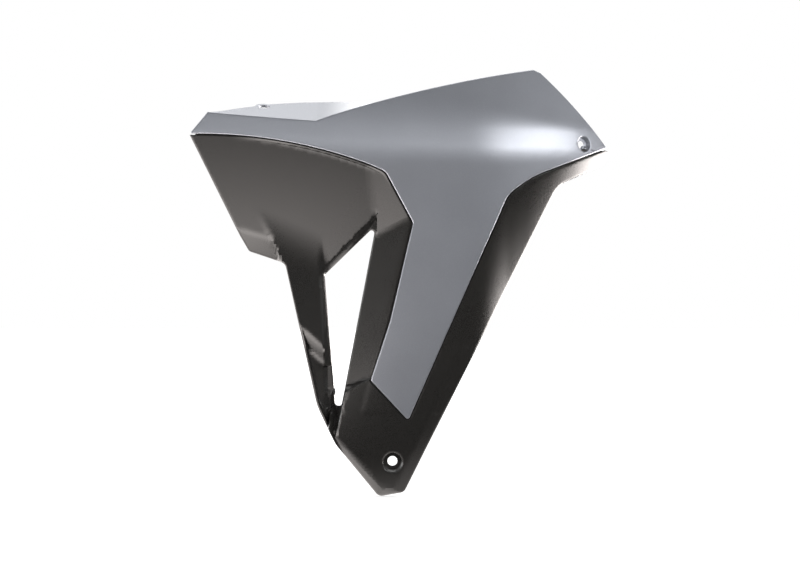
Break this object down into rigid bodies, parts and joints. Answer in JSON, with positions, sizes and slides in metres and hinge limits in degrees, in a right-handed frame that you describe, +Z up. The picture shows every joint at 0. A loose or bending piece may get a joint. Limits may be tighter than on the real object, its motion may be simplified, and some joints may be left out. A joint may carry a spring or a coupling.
{
  "type": "radiator shroud",
  "caption": "Left-hand motorcycle radiator shroud: a smooth grey cover with a nose, top plate and wing, screwed to a dark faceted moulding with a triangular air vent",
  "frame": {"origin": "on the axis of the lower bolt hole, in the middle of the wall that the bolt clamps", "axes": "+X rearwards on the motorcycle, +Y inboard towards the radiator, +Z up"},
  "size_m": [0.4424, 0.0925, 0.4513],
  "materials": {
    "satin_grey": "satin metallic grey paint on plastic",
    "dark_plastic": "moulded in warm black, satin",
    "zinc_screw": "zinc-plated steel"
  },
  "bodies": {
    "root": {"outer_panel": "satin_grey", "vent_panel": "dark_plastic", "joining_screws": "zinc_screw"}
  },
  "joints": []
}
